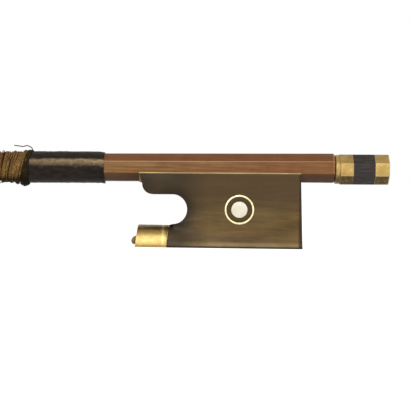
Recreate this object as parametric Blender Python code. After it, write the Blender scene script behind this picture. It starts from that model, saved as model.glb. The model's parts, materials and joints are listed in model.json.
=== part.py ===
# Violin bow without its hair: stick with head, frog, adjuster, thumb leather and lapping.
# Lengths are in metres. In the handle's own frame +X runs along the stick to the button,
# +Z is up, away from the frog, and x = 0 is the stick's butt face on its centreline.
# The finished bow stands on a bench at z = 0, on the frog's underside and the head's face.

from math import asin, atan2, cos, degrees, pi, radians, sin, tan

import bmesh
import bpy
from mathutils import Matrix, Vector

mm = 0.001

# Clearances
running_fit = 0.12 * mm         # between the stick and what slides or turns on it
inlay_fit = 0.05 * mm           # round glued, pinned and inlaid pieces
seat_gap = 0.1 * mm             # under leather, thread and wire
butt_gap = 0.15 * mm            # between the stick's butt and the button's collar
thread_fit = 0.1 * mm           # between the threads of the screw and of the eyelet

# Stick
stick_length = 729.0 * mm       # butt face to the end of the head's nose
butt_across = 8.45 * mm         # across the flats of the octagonal handle at its butt
nose_across = 7.85 * mm         # at the frog's nose
lapping_across = 7.6 * mm       # under the lapping
head_across = 5.3 * mm          # diameter where the shaft meets the head
octagon_end = 112.0 * mm        # where the octagon starts to turn round, from the butt
round_start = 124.0 * mm        # where it is fully round
camber_start = 130.0 * mm       # where the bend of the stick starts
camber_depth = 10.5 * mm
camber_lead = 1.7               # moves the deepest point towards the head
taper_power = 1.3               # the shaft thins faster towards the head
butt_bevel = 0.35 * mm
nipple_radius = 2.6 * mm        # round boss on the butt, inside the button's collar
nipple_length = 1.0 * mm
ring_sides = 24                 # points round the stick, three to each flat of the octagon
flat_corner = tan(pi / 8)       # half a flat of a regular octagon over its half width

# How the handle lies over the bench
handle_rise = radians(0.55)     # rise of the handle towards its button
bench_drop = 23.55 * mm         # from the stick's centreline at the butt down to the bench

# Head
face_length = 24.5 * mm
neck_reach = 9.0 * mm           # from the face's rear edge back to where the head begins
neck_height = 17.9 * mm         # centre of the stick there, over the bench
head_crown = Vector((9.0, 0.0, 20.6)) * mm
head_brow = Vector((14.0, 0.0, 13.6)) * mm
head_width = 9.6 * mm           # across the face
head_spread = 2.2               # keeps the head narrow until near its face
head_edge_steps = 10
crown_pull = 0.7                # how far the crown's line runs on past the brow
nose_pull = Vector((-4.2, 0.0, 2.9)) * mm
chin_pull = Vector((0.6, 0.0, 9.7)) * mm
plate_thickness = 0.9 * mm
lining_thickness = 0.7 * mm
head_pocket = Vector((7.5, 4.6, 6.0)) * mm
head_pocket_setback = 4.0 * mm  # from the face's rear edge
head_knot_height = 1.6 * mm

# Cutting shapes
overrun = 1.0 * mm              # how far a cutting shape stands out of the piece it cuts

# Screw and eyelet
screw_drop = 0.3 * mm           # the screw's axis lies this far under the stick's centre
screw_radius = 1.5 * mm
screw_root = 1.2 * mm
screw_pitch = 0.8 * mm
screw_sides = 16
screw_reach = 47.5 * mm         # front end of the screw, from the butt
screw_end_room = 1.5 * mm       # left in the bore before the screw's end
screw_bore_depth = screw_reach + screw_end_room
eyelet_length = 6.0 * mm
eyelet_width = 3.4 * mm
eyelet_cap = 2.3 * mm           # metal over the screw's axis
eyelet_stem_radius = 1.4 * mm
eyelet_stem_depth = 5.5 * mm    # how far the stem goes into the ebony
eyelet_from_heel = 20.1 * mm
travel_forward = 4.0 * mm       # frog travel towards the head, five turns
travel_back = 7.2 * mm          # frog travel towards the button, nine turns
travel_spare = 0.5 * mm         # mortise left free past each end of the travel
mortise_fit = 0.15 * mm
mortise_top = 2.6 * mm          # roof of the eyelet mortise over the screw's axis

# Frog
heel_setback = 9.9 * mm         # heel to the stick's butt
heel_lean = radians(1.4)        # the heel leans back towards its lower edge
frog_length = 46.65 * mm        # nose to heel along the stick
frog_top_drop = 0.2 * mm        # ebony's upper edge under the arris of the stick
cheek_half = 4.6 * mm           # half thickness over the flat cheeks
rail_half = 4.95 * mm           # half width of the upper rails
rail_depth = 3.2 * mm           # height over which the rails run out into the cheeks
heel_edge = 0.45 * mm           # rounding of the heel's upright edges
heel_foot_half = 5.0 * mm       # half width of the underside at the heel
flare_height = 6.2 * mm
throat_radius = 4.35 * mm
throat_depth = 13.9 * mm        # nose to the bottom of the throat
throat_drop = 12.14 * mm        # throat's centre under the stick's centreline
nose_radius = 2.9 * mm
nose_lean = 0.95 * mm           # how far the nose draws back before its round
shoulder_blend = 7.0 * mm       # length over which the ferrule's arch runs out
shoulder_rise = 1.4 * mm        # length over which the arch's top rises to the cheek
flare_foot = 0.4 * mm           # upright foot of the flare
flare_power = 2.2
least_half = 0.4 * mm           # half thickness where the arch closes

# Underslide
liner_thickness = 0.3 * mm
liner_lip = 0.15 * mm           # how far it stands above the arris of the stick
liner_pin_radius = 0.45 * mm
liner_pin_length = 2.6 * mm
liner_pin_inset = 4.6 * mm      # from each end of the frog
pin_sides = 12

# Eyes
eye_from_heel = 17.7 * mm
eye_drop = 12.2 * mm            # under the stick's centreline
eye_ring_radius = 4.26 * mm
eye_ring_width = 0.52 * mm
eye_pearl_radius = 2.36 * mm
eye_depth = 0.8 * mm
eye_sides = 40

# Ferrule, wedge and slide
ferrule_length = 9.0 * mm
ferrule_height = 6.4 * mm
ferrule_half = 6.4 * mm
ferrule_wall = 0.5 * mm
ferrule_lean = 0.65 * mm        # its lower edges lie this much further forward
ferrule_overhang = 0.35 * mm    # forward of the frog's nose
arch_power = 2.6
tongue_underside = 2.9 * mm     # over the bench
tongue_setback = 0.3 * mm       # behind the ferrule's front edge
wedge_half = 4.7 * mm
wedge_tip = 1.2 * mm            # how far the wedge stands out of the ferrule
wedge_back_thickness = 1.0 * mm
wedge_edge = 0.3 * mm           # how far its edges stand in at each step of the tip
slide_half = 3.7 * mm           # at the underside
slide_undercut = 0.3 * mm       # dovetail, each side
slide_spare = 0.4 * mm          # its end over the heel's upper edge, level with the leaning foot
slide_setback = 0.3 * mm        # behind the ferrule
pearl_thickness = 0.65 * mm
backing_thickness = 0.8 * mm

# Hair mortise of the frog
frog_pocket = Vector((10.6, 6.4, 5.0)) * mm
frog_pocket_setback = 15.2 * mm  # front wall, from the frog's nose
frog_knot_height = 1.5 * mm
passage_half = 4.4 * mm

# Button
collar_radius = 4.23 * mm
collar_length = 1.35 * mm
collar_groove = 0.2 * mm
collar_round = 0.25 * mm
front_ring_length = 3.85 * mm
core_length = 6.15 * mm
rear_ring_length = 4.25 * mm
button_across = 8.7 * mm
button_bevel = 0.2 * mm
button_turn = radians(3.2)      # the button's flats stand turned by this at rest
tenon_radius = 3.3 * mm
tang_half = 1.1 * mm
tang_end = 12.5 * mm            # end of the screw's square tang, from the butt
end_recess = 0.15 * mm          # the ebony lies this far inside the last ring

# Thumb leather and lapping
leather_start = 66.7 * mm       # from the butt
leather_length = 22.5 * mm
leather_outer = 4.62 * mm       # outer radius
leather_skive = 2.4 * mm        # length of the thinned end
leather_end_outer = 4.3 * mm
leather_edge = 0.2 * mm         # rounding of its far edge
lapping_gap = 0.3 * mm          # between leather and lapping
underlay_thickness = 0.15 * mm
underlay_spare = 1.2 * mm       # thread showing past each end of the wire
wire_diameter = 0.45 * mm
wire_loops = 24
wire_pitch = 1.9 * mm
wire_loop_points = 24
wire_tail_rise = 1.3 * mm       # how far the loose end stands over the winding
wire_tail_swing = 0.7 * mm      # how far it swings away over the stick
wire_tail_length = 3.8 * mm
wire_tail_lift = 0.5 * mm


def part_material(name, colour, roughness, metallic=0.0):
    material = bpy.data.materials.new(name)
    material.use_nodes = True
    shader = material.node_tree.nodes["Principled BSDF"]
    shader.inputs["Base Color"].default_value = (*colour, 1.0)
    shader.inputs["Roughness"].default_value = roughness
    shader.inputs["Metallic"].default_value = metallic
    material.diffuse_color = (*colour, 1.0)
    return material


def place(name, bm, material, parent):
    # Turns a finished bmesh into an object that hangs on its frame.
    bmesh.ops.recalc_face_normals(bm, faces=bm.faces)
    mesh = bpy.data.meshes.new(name)
    bm.to_mesh(mesh)
    bm.free()
    mesh.shade_smooth()
    mesh.set_sharp_from_angle(angle=radians(30))
    piece = bpy.data.objects.new(name, mesh)
    bpy.context.collection.objects.link(piece)
    piece.parent = parent
    if material is not None:
        mesh.materials.append(material)
    return piece


def frame_empty(name, location, rotation, parent):
    empty = bpy.data.objects.new(name, None)
    bpy.context.collection.objects.link(empty)
    empty.location = location
    empty.rotation_euler = rotation
    empty.parent = parent
    return empty


def shape_with(piece, bm, operation="DIFFERENCE"):
    # Cuts or joins a guide shape, built in the same frame as the piece.
    guide = place(piece.name + "_guide", bm, None, piece.parent)
    guide.hide_render = True
    guide.display_type = "WIRE"
    modifier = piece.modifiers.new(guide.name, "BOOLEAN")
    modifier.operation = operation
    modifier.solver = "EXACT"
    modifier.object = guide


def loft(rings, closed=False):
    # Skins a row of rings with the same number of points; closed joins last to first.
    bm = bmesh.new()
    rows = [[bm.verts.new(point) for point in ring] for ring in rings]
    pairs = list(zip(rows, rows[1:]))
    if closed:
        pairs.append((rows[-1], rows[0]))
    for near, far in pairs:
        for index in range(len(near)):
            after = (index + 1) % len(near)
            bm.faces.new((near[index], near[after], far[after], far[index]))
    if not closed:
        bm.faces.new(rows[0])
        bm.faces.new(rows[-1])
    return bm


def prism(outline, half_width):
    # A side outline in x and z, extruded to both sides of the middle plane.
    rings = [[Vector((x, y, z)) for x, z in outline] for y in (-half_width, half_width)]
    return loft(rings)


def circle(x, radius, sides=ring_sides, z=0.0):
    points = []
    for index in range(sides):
        angle = 2 * pi * index / sides + pi / 8
        points.append(Vector((x, radius * cos(angle), z + radius * sin(angle))))
    return points


def rod(stations, sides=ring_sides, z=0.0):
    # A turned piece along X from its stations of x and radius.
    return loft([circle(x, radius, sides, z) for x, radius in stations])


def upright_rod(x, y, low, high, radius, sides=16):
    rings = []
    for z in (low, high):
        ring = []
        for index in range(sides):
            angle = 2 * pi * index / sides
            ring.append(Vector((x + radius * cos(angle), y + radius * sin(angle), z)))
        rings.append(ring)
    return loft(rings)


def cross_rod(x, z, low, high, radius, sides=32):
    rings = []
    for y in (low, high):
        ring = []
        for index in range(sides):
            angle = 2 * pi * index / sides
            ring.append(Vector((x + radius * cos(angle), y, z + radius * sin(angle))))
        rings.append(ring)
    return loft(rings)


def octagon_reach(angle, across, roundness, turn=0.0):
    # Distance from the centre to the side of an octagon that is rounded by some share.
    step = pi / 4
    offset = (angle - turn + step / 2) % step - step / 2
    flat = across / 2 / cos(offset)
    return flat * (1 - roundness) + across / 2 * roundness


def octagon(x, across, roundness=0.0, turn=0.0):
    points = []
    for index in range(ring_sides):
        angle = 2 * pi * index / ring_sides + pi / 8 + turn
        reach = octagon_reach(angle, across, roundness, turn)
        points.append(Vector((x, reach * cos(angle), reach * sin(angle))))
    return points


def between(value, low, high):
    return min(max((value - low) / (high - low), 0.0), 1.0)


def smooth(value):
    return value * value * (3 - 2 * value)


def arc(centre, radius, start, end, steps):
    points = []
    for index in range(steps + 1):
        angle = radians(start + (end - start) * index / steps)
        points.append((centre[0] + radius * cos(angle), centre[1] + radius * sin(angle)))
    return points


def bezier(points, share):
    rest = 1 - share
    first, second, third, fourth = points
    return (first * rest ** 3 + second * 3 * rest * rest * share
            + third * 3 * rest * share * share + fourth * share ** 3)


def bench_z(x):
    return -bench_drop - x * tan(handle_rise)


def on_bench(x, up, y=0.0):
    # A point over the bench, from the foot of its upright at x.
    return Vector((x + up * sin(handle_rise), y, bench_z(x) + up * cos(handle_rise)))


# Places that follow from the sizes
heel_x = -heel_setback
nose_x = heel_x - frog_length
face_x = -(stick_length - face_length)
neck_x = face_x + neck_reach
eyelet_x = heel_x - eyelet_from_heel
eye_x = heel_x - eye_from_heel
leather_x = -leather_start
leather_far_x = leather_x - leather_length
lapping_x = leather_far_x - lapping_gap
ferrule_front_x = nose_x - ferrule_overhang
ferrule_rear_x = ferrule_front_x + ferrule_length
throat_x = nose_x + throat_depth - throat_radius
face_up = plate_thickness + lining_thickness + 2 * inlay_fit
winding_length = wire_loops * wire_pitch
lapping_far_x = lapping_x - winding_length - 2 * underlay_spare


def across_at(x):
    # Across the flats of the handle, or the diameter of the shaft.
    distance = -x
    if distance <= -nose_x:
        return butt_across + (nose_across - butt_across) * distance / -nose_x
    if distance <= -lapping_x:
        share = between(distance, -nose_x, -lapping_x)
        return nose_across + (lapping_across - nose_across) * share
    share = between(distance, round_start, -neck_x)
    return lapping_across - (lapping_across - head_across) * share ** taper_power


def roundness_at(x):
    return smooth(between(-x, octagon_end, round_start))


def centre_at(x):
    # Height of the stick's centreline, which dips in the camber and rises to the head.
    share = between(-x, camber_start, -neck_x)
    deepest = camber_lead / (camber_lead + 1)
    crest = deepest ** camber_lead * (1 - deepest)
    neck_z = on_bench(neck_x, neck_height).z
    dip = camber_depth * share ** camber_lead * (1 - share) / crest
    return neck_z * share * share - dip


def stick_ring(x, grow=0.0):
    step = 0.5 * mm
    slope = atan2(centre_at(x + step) - centre_at(x - step), 2 * step)
    ring = octagon(0.0, across_at(x) + 2 * grow, roundness_at(x))
    turn = Matrix.Rotation(-slope, 3, "Y")
    return [turn @ point + Vector((x, 0, centre_at(x))) for point in ring]


def head_edges():
    # Rear and front curves of the head, from the neck down to the face.
    step = 0.5 * mm
    slope = atan2(centre_at(neck_x) - centre_at(neck_x + step), step) + handle_rise
    along = Vector((cos(slope), 0, sin(slope)))
    upright = Vector((-sin(slope), 0, cos(slope)))
    neck = Vector((-neck_reach, 0, neck_height))
    top = neck + upright * head_across / 2
    bottom = neck - upright * head_across / 2
    chin = Vector((0, 0, face_up))
    nose = Vector((face_length, 0, face_up))
    brow_pull = (head_brow - head_crown) * crown_pull
    crown = (top, top + along * neck_reach, head_crown, head_brow)
    front = (head_brow, head_brow + brow_pull, nose + nose_pull, nose)
    rear = (bottom, bottom + along * neck_reach * 0.6, chin + chin_pull, chin)
    return crown, front, rear


def head_ring(share):
    crown, front, rear = head_edges()
    if share < 0.5:
        fore = bezier(crown, share * 2)
    else:
        fore = bezier(front, share * 2 - 1)
    aft = bezier(rear, share)
    middle = (fore + aft) / 2
    reach = (fore - aft) / 2
    half = head_across / 2 + (head_width - head_across) / 2 * share ** head_spread
    points = []
    for index in range(ring_sides):
        angle = 2 * pi * index / ring_sides + pi / 8
        side = cos(angle)
        fullness = 1 + 0.25 * share if sin(angle) > 0 else 1 - 0.5 * share
        y = half * abs(side) ** fullness * (1 if side > 0 else -1)
        spot = middle + reach * sin(angle)
        points.append(on_bench(face_x - spot.x, spot.z, y))
    return points


def head_block(low, high, pocket, setback, trim=0.0):
    # A block that stands square on the face of the head, round or in its mortise.
    half = pocket.y / 2 - trim
    near = face_x - setback - trim
    far = face_x - setback - pocket.x + trim
    rings = []
    for up in (low, high):
        corners = ((near, -half), (far, -half), (far, half), (near, half))
        rings.append([on_bench(x, up, y) for x, y in corners])
    return loft(rings)


def build_stick(material, handle):
    rings = [circle(nipple_length, nipple_radius), circle(0.0, nipple_radius)]
    rings.append(octagon(0.0, butt_across - 2 * butt_bevel))
    rings.append(stick_ring(-butt_bevel))
    for x in (nose_x, lapping_x, -octagon_end, -(octagon_end + round_start) / 2):
        rings.append(stick_ring(x))
    shaft_steps = 18
    for index in range(shaft_steps):
        share = index / shaft_steps
        rings.append(stick_ring(-round_start + (neck_x + round_start) * share))
    rings.extend(head_ring(index / head_edge_steps) for index in range(head_edge_steps + 1))
    stick = place("stick", loft(rings), material, handle)
    bore_radius = screw_radius + running_fit
    mouth = nipple_length + overrun
    bore = rod(((-screw_bore_depth, bore_radius), (mouth, bore_radius)), screw_sides, -screw_drop)
    shape_with(stick, bore)
    reach = eyelet_length / 2 + travel_spare
    low_x = eyelet_x - travel_forward - reach
    high_x = eyelet_x + travel_back + reach
    roof = mortise_top - screw_drop
    below = -butt_across / 2 - overrun
    outline = ((low_x, below), (high_x, below), (high_x, roof), (low_x, roof))
    shape_with(stick, prism(outline, eyelet_width / 2 + mortise_fit))
    shape_with(stick, head_block(-overrun, face_up + head_pocket.z, head_pocket, head_pocket_setback))
    return stick


def face_layer(name, low, high, material, handle):
    outline = head_ring(1.0)
    lift = on_bench(0, 0) - on_bench(0, face_up)
    rings = []
    for up in (low, high):
        rings.append([point + lift + on_bench(0, up) - on_bench(0, 0) for point in outline])
    layer = place(name, loft(rings), material, handle)
    shape_with(layer, head_block(-overrun, face_up + overrun, head_pocket, head_pocket_setback))
    return layer


def build_head_fittings(materials, handle):
    face_layer("tip_plate", 0.0, plate_thickness, materials["bone"], handle)
    lining_low = plate_thickness + inlay_fit
    face_layer("head_lining", lining_low, lining_low + lining_thickness, materials["ebony"], handle)
    roof = face_up + head_pocket.z
    knot_low = roof - head_knot_height
    plug = head_block(inlay_fit, knot_low - inlay_fit, head_pocket, head_pocket_setback, inlay_fit)
    place("head_plug", plug, materials["maple"], handle)
    knot = head_block(knot_low, roof - inlay_fit, head_pocket, head_pocket_setback, 2 * inlay_fit)
    place("head_hair_knot", knot, materials["hair"], handle)


def cheek_half_at(x, up):
    # Half thickness of the frog: an arch at the ferrule, flat cheeks with a flared foot behind.
    share = between(up, 0.0, ferrule_height)
    arch = ferrule_half * max(1 - share ** arch_power, 0.0) ** (1 / arch_power)
    if up >= ferrule_height:
        arch = cheek_half
    arch = max(arch, cheek_half * between(x, ferrule_rear_x, ferrule_rear_x + shoulder_rise))
    foot_share = between(x, ferrule_rear_x, heel_x)
    foot = ferrule_half + (heel_foot_half - ferrule_half) * foot_share
    flare = (1 - between(up, flare_foot, flare_height)) ** flare_power
    cheek = cheek_half + (foot - cheek_half) * flare
    top = bench_drop - butt_across / 2 * flat_corner - frog_top_drop
    cheek += (rail_half - cheek_half) * smooth(between(up, top - rail_depth, top))
    blend = smooth(between(x, ferrule_rear_x, ferrule_rear_x + shoulder_blend))
    half = arch + (cheek - arch) * blend
    half -= heel_edge * between(x, heel_x - heel_edge, heel_x)
    return max(half, least_half)


def cheek_solid():
    # The frog's cross sections, from in front of the ferrule to behind the heel.
    arch_shares = (0.0, 0.08, 0.19, 0.31, 0.47, 0.63, 0.75, 0.86, 0.94, 0.998)
    levels = [-overrun] + [ferrule_height * share for share in arch_shares]
    top = bench_drop - butt_across / 2 * flat_corner - frog_top_drop
    levels += [ferrule_height * 1.015, top * 0.55]
    levels += [top - rail_depth * share for share in (1.0, 0.63, 0.27, 0.0)]
    levels.append(bench_drop)
    heel_back = heel_x + overrun
    blend_steps = 5
    stations = [nose_x - 4 * overrun, ferrule_rear_x - ferrule_lean, ferrule_rear_x]
    stations += [ferrule_rear_x + shoulder_rise * index / 2 for index in (1, 2)]
    for index in range(2, blend_steps + 1):
        stations.append(ferrule_rear_x + shoulder_blend * index / blend_steps)
    stations += [heel_x - heel_edge, heel_x, heel_back]
    rings = []
    for x in stations:
        right = [on_bench(x, up, cheek_half_at(x, up)) for up in levels]
        left = [on_bench(x, up, -cheek_half_at(x, up)) for up in reversed(levels)]
        rings.append(right + left)
    return loft(rings)


def frog_top_at(x):
    return -across_at(x) / 2 * flat_corner - frog_top_drop


def frog_outline():
    heel_top = frog_top_at(heel_x)
    heel_fall = heel_top - bench_z(heel_x)
    foot_x = heel_x + heel_fall * tan(heel_lean)
    nose_centre = (nose_x + nose_lean + nose_radius, -throat_drop + throat_radius + nose_radius)
    shoulder_top = on_bench(ferrule_rear_x + seat_gap, ferrule_height)
    shoulder_foot = on_bench(ferrule_rear_x + seat_gap - ferrule_lean, 0)
    outline = [(foot_x, bench_z(foot_x)), (heel_x, heel_top), (nose_x, frog_top_at(nose_x))]
    outline += arc(nose_centre, nose_radius, 180, 270, 8)
    outline += arc((throat_x, -throat_drop), throat_radius, 90, -90, 20)
    outline += [(shoulder_top.x, shoulder_top.z), (shoulder_foot.x, shoulder_foot.z)]
    return outline


def arch_ring(x, inset, low):
    # The ferrule's section at x, drawn in by inset, with its flat side at the height low.
    half = ferrule_half - inset
    height = ferrule_height - inset
    foot = asin((low / height) ** (arch_power / 2))
    steps = 18
    points = []
    for index in range(steps + 1):
        angle = foot + (pi - 2 * foot) * index / steps
        side = cos(angle)
        y = half * abs(side) ** (2 / arch_power) * (1 if side > 0 else -1)
        up = height * max(sin(angle), 0.0) ** (2 / arch_power)
        lean = ferrule_lean * (1 - up / ferrule_height)
        points.append(on_bench(x - lean, up, y))
    return points


def build_frog_body(material, carriage):
    frog = place("frog_body", prism(frog_outline(), ferrule_half + overrun), material, carriage)
    shape_with(frog, cheek_solid(), "INTERSECT")
    tongue_inset = ferrule_wall + inlay_fit
    tongue_front = ferrule_front_x + tongue_setback
    tongue_back = ferrule_rear_x + 1.5 * overrun
    tongue = [arch_ring(x, tongue_inset, tongue_underside) for x in (tongue_front, tongue_back)]
    shape_with(frog, loft(tongue), "UNION")
    shape_with(frog, liner_solid(running_fit + liner_thickness + inlay_fit, 2 * overrun))
    slide_top = pearl_thickness + backing_thickness + 2 * inlay_fit
    shape_with(frog, slide_solid(-overrun, slide_top, inlay_fit, 5 * overrun))
    pocket_front = nose_x + frog_pocket_setback
    pocket_back = pocket_front + frog_pocket.x
    floor = pearl_thickness + backing_thickness
    pocket_roof = floor + frog_pocket.z
    shape_with(frog, bench_block(pocket_front, pocket_back, floor, pocket_roof, frog_pocket.y / 2))
    passage_roof = tongue_underside - 2 * inlay_fit
    shape_with(frog, bench_block(nose_x, pocket_front + overrun, floor, passage_roof, passage_half))
    stem_low = eyelet_stem_low() - inlay_fit
    shape_with(frog, upright_rod(eyelet_x, 0, stem_low, 0, eyelet_stem_radius + inlay_fit))
    for x in liner_pin_places():
        low = liner_pin_top(x) - liner_pin_length - inlay_fit
        shape_with(frog, upright_rod(x, 0, low, 0, liner_pin_radius + inlay_fit, pin_sides))
    for side in (-1, 1):
        outer = side * (cheek_half + overrun)
        inner = side * (cheek_half - eye_depth - inlay_fit)
        low, high = sorted((outer, inner))
        ring = eye_ring_solid(low, high, inlay_fit)
        shape_with(frog, ring)
        shape_with(frog, cross_rod(eye_x, -eye_drop, low, high, eye_pearl_radius + inlay_fit))
    return frog


def bench_block(x_low, x_high, low, high, half):
    rings = []
    for up in (low, high):
        corners = ((x_low, -half), (x_high, -half), (x_high, half), (x_low, half))
        rings.append([on_bench(x, up, y) for x, y in corners])
    return loft(rings)


def liner_corners(x, grow):
    # Lower half of the octagon round the stick at x, grown by a clearance.
    half = across_at(x) / 2 + grow
    return [(half, -half * flat_corner), (half * flat_corner, -half),
            (-half * flat_corner, -half), (-half, -half * flat_corner)]


def liner_solid(grow, top):
    # The bed of the liner, cut right through the frog's top.
    rings = []
    for x in (nose_x - 6 * overrun, heel_x + 6 * overrun):
        corners = liner_corners(x, grow)
        half = corners[0][0]
        ring = [(half, top)] + corners + [(-half, top)]
        rings.append([Vector((x, y, z)) for y, z in ring])
    return loft(rings)


def build_underslide(material, carriage):
    rings = []
    for x in (nose_x, heel_x):
        top = -across_at(x) / 2 * flat_corner + liner_lip
        inner = liner_corners(x, running_fit)
        outer = liner_corners(x, running_fit + liner_thickness)
        ring = [(inner[0][0], top)] + inner + [(inner[-1][0], top)]
        ring += [(outer[-1][0], top)] + outer[::-1] + [(outer[0][0], top)]
        rings.append([Vector((x, y, z)) for y, z in ring])
    liner = place("underslide", loft(rings), material, carriage)
    below = -butt_across
    shape_with(liner, upright_rod(eyelet_x, 0, below, 0, eyelet_stem_radius + inlay_fit))
    for x in liner_pin_places():
        shape_with(liner, upright_rod(x, 0, below, 0, liner_pin_radius + inlay_fit, pin_sides))
    return liner


def liner_pin_places():
    return nose_x + liner_pin_inset, heel_x - liner_pin_inset


def liner_pin_top(x):
    return -across_at(x) / 2 - running_fit - inlay_fit


def build_liner_pins(material, carriage):
    for name, x in zip(("underslide_pin_front", "underslide_pin_rear"), liner_pin_places()):
        top = liner_pin_top(x)
        pin = upright_rod(x, 0, top - liner_pin_length, top, liner_pin_radius, pin_sides)
        place(name, pin, material, carriage)


def eye_ring_solid(low, high, fit=0.0):
    outer = eye_ring_radius + fit
    inner = eye_ring_radius - eye_ring_width - fit
    rings = []
    for y, radius in ((low, outer), (high, outer), (high, inner), (low, inner)):
        ring = []
        for index in range(eye_sides):
            angle = 2 * pi * index / eye_sides
            ring.append(Vector((eye_x + radius * cos(angle), y, -eye_drop + radius * sin(angle))))
        rings.append(ring)
    return loft(rings, closed=True)


def build_eyes(materials, carriage):
    for side, word in ((-1, "near"), (1, "far")):
        low, high = sorted((side * cheek_half, side * (cheek_half - eye_depth)))
        place("eye_ring_" + word, eye_ring_solid(low, high), materials["gold"], carriage)
        pearl = cross_rod(eye_x, -eye_drop, low, high, eye_pearl_radius)
        place("eye_pearl_" + word, pearl, materials["pearl"], carriage)


def eyelet_seat_z():
    return -across_at(eyelet_x) / 2 - running_fit + inlay_fit


def eyelet_stem_low():
    return eyelet_seat_z() - liner_thickness - eyelet_stem_depth


def threaded_rod(start, turns, crest, root, before, after, fit=0.0):
    # A right-handed V thread between two plain ends; its crests and roots run as helices.
    bm = bmesh.new()
    columns = []
    for side in range(screw_sides):
        angle = 2 * pi * side / screw_sides + pi / 8
        count = 2 * turns + (3 if side == 0 else 1)
        column = []
        for index in range(count):
            x = start + screw_pitch * (index / 2 + side / screw_sides)
            radius = (crest if index % 2 == 0 else root) + fit
            column.append(bm.verts.new((x, radius * cos(angle), radius * sin(angle))))
        columns.append(column)
    for side in range(screw_sides):
        last = side == screw_sides - 1
        near = columns[side]
        far = columns[0][2:] if last else columns[side + 1]
        for index in range(2 * turns):
            bm.faces.new((near[index], far[index], far[index + 1], near[index + 1]))
    front = [bm.verts.new(point) for point in circle(before, crest + fit, screw_sides)]
    back = [bm.verts.new(point) for point in circle(after, crest + fit, screw_sides)]
    first = [column[0] for column in columns]
    final = [columns[0][-1]] + [column[-1] for column in columns[1:]]
    for side in range(screw_sides):
        after_side = (side + 1) % screw_sides
        bm.faces.new((front[side], front[after_side], first[after_side], first[side]))
        bm.faces.new((back[side], back[after_side], final[after_side], final[side]))
    bm.faces.new((first[-1], columns[0][0], columns[0][1]))
    bm.faces.new((first[-1], columns[0][1], columns[0][2]))
    bm.faces.new((columns[1][-1], columns[0][-3], columns[0][-2]))
    bm.faces.new((columns[1][-1], columns[0][-2], columns[0][-1]))
    bm.faces.new(front)
    bm.faces.new(back)
    return bm


def thread_span():
    # Whole turns that hold the eyelet wherever the frog can stand.
    reach = eyelet_length / 2 + travel_spare
    start = eyelet_x - travel_forward - reach
    turns = int((travel_forward + travel_back + 2 * reach) / screw_pitch + 0.5)
    return start, turns


def build_eyelet(material, carriage):
    seat = eyelet_seat_z()
    half = eyelet_length / 2
    roof = eyelet_cap - screw_drop
    low_x, high_x = eyelet_x - half, eyelet_x + half
    outline = ((low_x, seat), (high_x, seat), (high_x, roof), (low_x, roof))
    eyelet = place("eyelet", prism(outline, eyelet_width / 2), material, carriage)
    stem = upright_rod(eyelet_x, 0, eyelet_stem_low(), seat + overrun / 2, eyelet_stem_radius)
    shape_with(eyelet, stem, "UNION")
    start, _ = thread_span()
    skipped = int((low_x - 1.5 * overrun - start) / screw_pitch)
    turns = int((eyelet_length + 3 * overrun) / screw_pitch) + 2
    cut_start = start + skipped * screw_pitch
    cut_end = cut_start + (turns + 1) * screw_pitch
    ends = (cut_start - overrun, cut_end + overrun)
    tool = threaded_rod(cut_start, turns, screw_radius, screw_root, *ends, thread_fit)
    bmesh.ops.translate(tool, verts=tool.verts, vec=(0, 0, -screw_drop))
    shape_with(eyelet, tool)
    return eyelet


def build_ferrule(material, carriage):
    rings = []
    for x, inset in ((ferrule_front_x, 0.0), (ferrule_rear_x, 0.0)):
        rings.append(arch_ring(x, inset, 0.0))
    for x, inset in ((ferrule_rear_x, ferrule_wall), (ferrule_front_x, ferrule_wall)):
        rings.append(arch_ring(x, inset, ferrule_wall))
    place("ferrule", loft(rings, closed=True), material, carriage)


def build_wedge(material, carriage):
    # Thin behind, full under the tongue, with a blunt tip in front of the ferrule.
    low = ferrule_wall + inlay_fit
    high = tongue_underside - inlay_fit
    mouth = ferrule_front_x - ferrule_lean
    back = ferrule_rear_x - ferrule_lean - wedge_edge
    edge = wedge_edge
    stations = (
        (back, low, low + wedge_back_thickness, wedge_half),
        (mouth + tongue_setback, low, high, wedge_half),
        (mouth - edge / 3, low + edge / 3, high + edge, wedge_half - edge / 2),
        (mouth - wedge_tip * 0.7, low + edge, high - edge / 3, wedge_half - 2 * edge),
        (mouth - wedge_tip, low + 3 * edge, high - 3 * edge, wedge_half - 4 * edge),
    )
    rings = []
    for x, down, up, half in stations:
        chamfer = (up - down) * 0.25
        section = ((half, down + chamfer), (half, up - chamfer), (half - chamfer, up),
                   (chamfer - half, up), (-half, up - chamfer), (-half, down + chamfer),
                   (chamfer - half, down), (half - chamfer, down))
        rings.append([on_bench(x, level, y) for y, level in section])
    place("spread_wedge", loft(rings), material, carriage)


def slide_section(up):
    # Half width of the dovetail at a height over the bench.
    whole = pearl_thickness + backing_thickness
    return slide_half + slide_undercut * up / whole


def slide_solid(low, high, fit=0.0, past_heel=slide_spare):
    front = ferrule_rear_x - ferrule_lean + slide_setback - fit
    back = heel_x + past_heel
    rings = []
    for x in (front, back):
        ring = []
        for up, sign in ((low, 1), (high, 1), (high, -1), (low, -1)):
            ring.append(on_bench(x, up, sign * (slide_section(up) + fit)))
        rings.append(ring)
    return loft(rings)


def build_slide(materials, carriage):
    place("pearl_slide", slide_solid(0.0, pearl_thickness), materials["pearl"], carriage)
    low = pearl_thickness + inlay_fit
    backing = slide_solid(low, low + backing_thickness)
    place("slide_backing", backing, materials["ebony"], carriage)


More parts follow.
